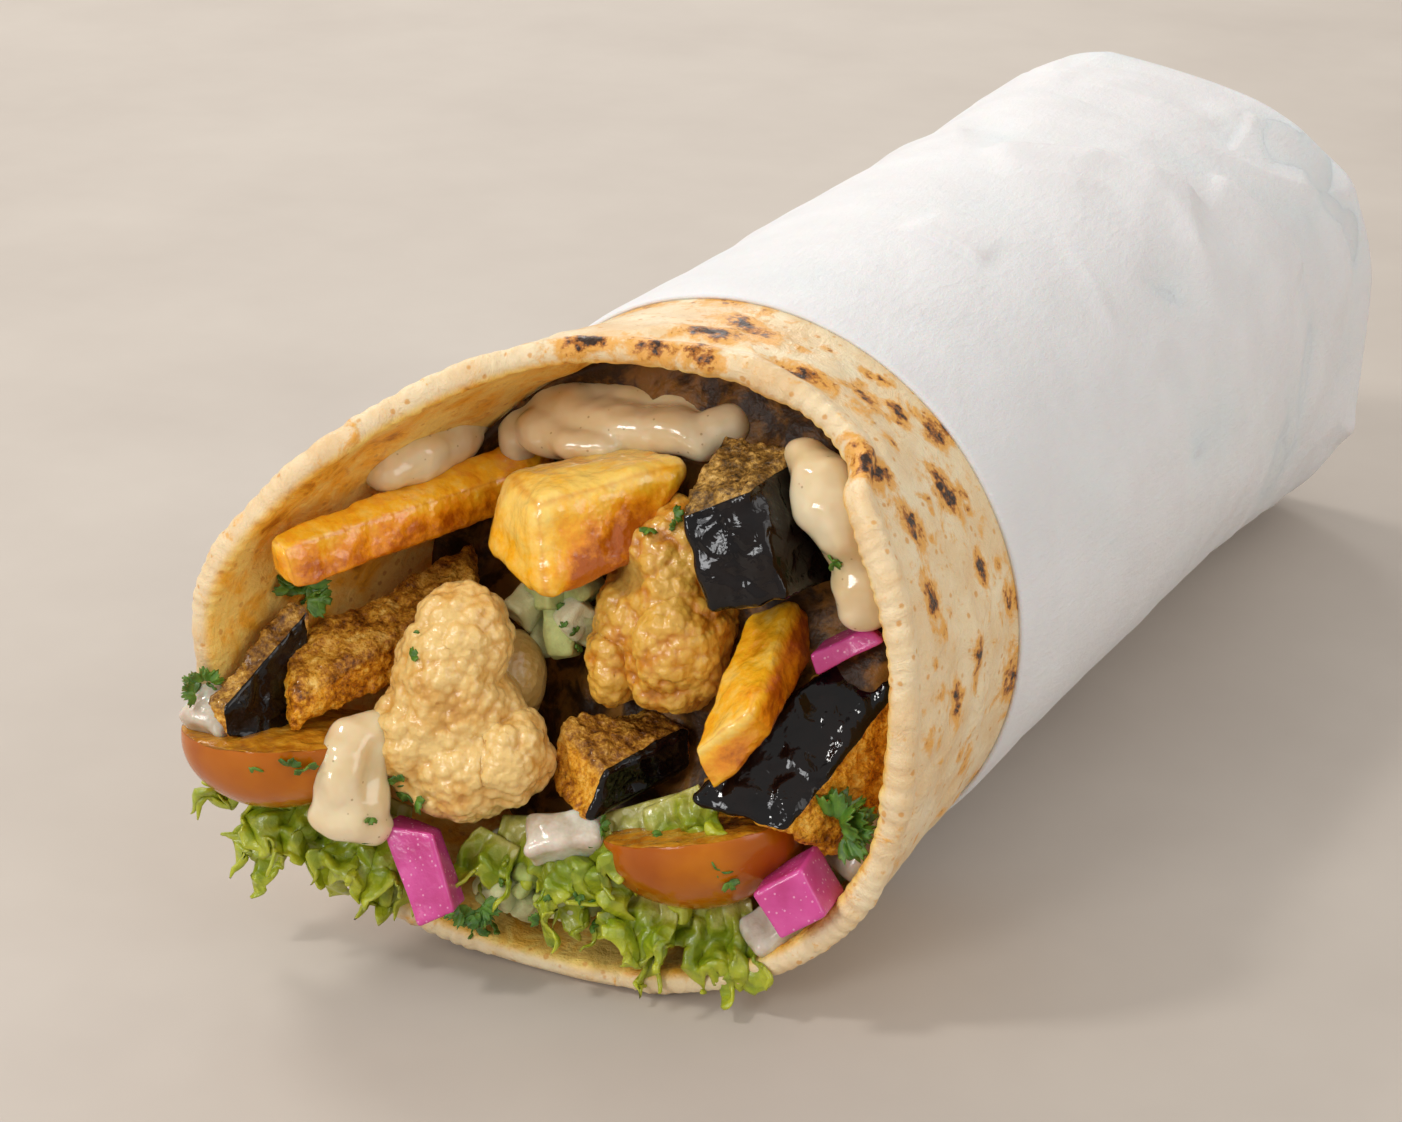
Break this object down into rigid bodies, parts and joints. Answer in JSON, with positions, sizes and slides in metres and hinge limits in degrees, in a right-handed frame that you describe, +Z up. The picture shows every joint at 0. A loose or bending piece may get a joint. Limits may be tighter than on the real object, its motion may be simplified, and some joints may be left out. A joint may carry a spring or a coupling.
{
  "type": "fried vegetable sandwich",
  "caption": "Flatbread wrap lying on its side in a white paper sleeve, its open mouth showing fries, cauliflower, aubergine, tomato, lettuce, pickled turnip, onion and tahini.",
  "frame": {"origin": "bottom centre of the whole's box, on the surface that it lies on", "axes": "+Y along the roll, from its open mouth to its folded paper end; +Z up"},
  "size_m": [0.0878, 0.2122, 0.0756],
  "materials": {
    "paper": "thin matte white wrapping paper, softly creased",
    "bread": "pale cream flatbread with charred spots, matte",
    "salad": "moist chopped cucumber and onion",
    "potato": "golden fried potato, oily sheen",
    "cauliflower": "pale golden fried cauliflower",
    "cauliflower_browned": "browned fried cauliflower",
    "aubergine_flesh": "crisp fried aubergine flesh, oily",
    "aubergine_skin": "glossy black aubergine skin",
    "tomato": "orange tomato, smooth and moist",
    "lettuce": "curly green lettuce, slightly waxy",
    "turnip": "magenta pickled turnip, wet",
    "onion": "translucent white onion, wet",
    "tahini": "glossy beige sesame sauce",
    "parsley": "fresh chopped parsley"
  },
  "bodies": {
    "root": {"paper_sleeve": "paper", "flatbread": "bread", "salad_core": "salad", "fry_long": "potato", "fry_right": "potato", "potato_wedge": "potato", "cauliflower_front": "cauliflower", "cauliflower_back": "cauliflower_browned", "aubergine_golden": "aubergine_flesh", "aubergine_mid": "aubergine_flesh", "aubergine_left": "aubergine_skin", "aubergine_cube": "aubergine_skin", "aubergine_right": "aubergine_skin", "aubergine_back": "aubergine_skin", "tomato_left": "tomato", "tomato_mid": "tomato", "lettuce_left": "lettuce", "lettuce_mid": "lettuce", "lettuce_bottom": "lettuce", "lettuce_inner": "lettuce", "turnip_stick": "turnip", "turnip_cube": "turnip", "turnip_slice": "turnip", "onion_left": "onion", "onion_mid": "onion", "onion_right": "onion", "onion_bottom": "onion", "tahini_left": "tahini", "tahini_top": "tahini", "tahini_right": "tahini", "tahini_front": "tahini", "parsley_right": "parsley", "parsley_bottom": "parsley", "parsley_left": "parsley", "parsley_tip": "parsley"}
  },
  "joints": []
}
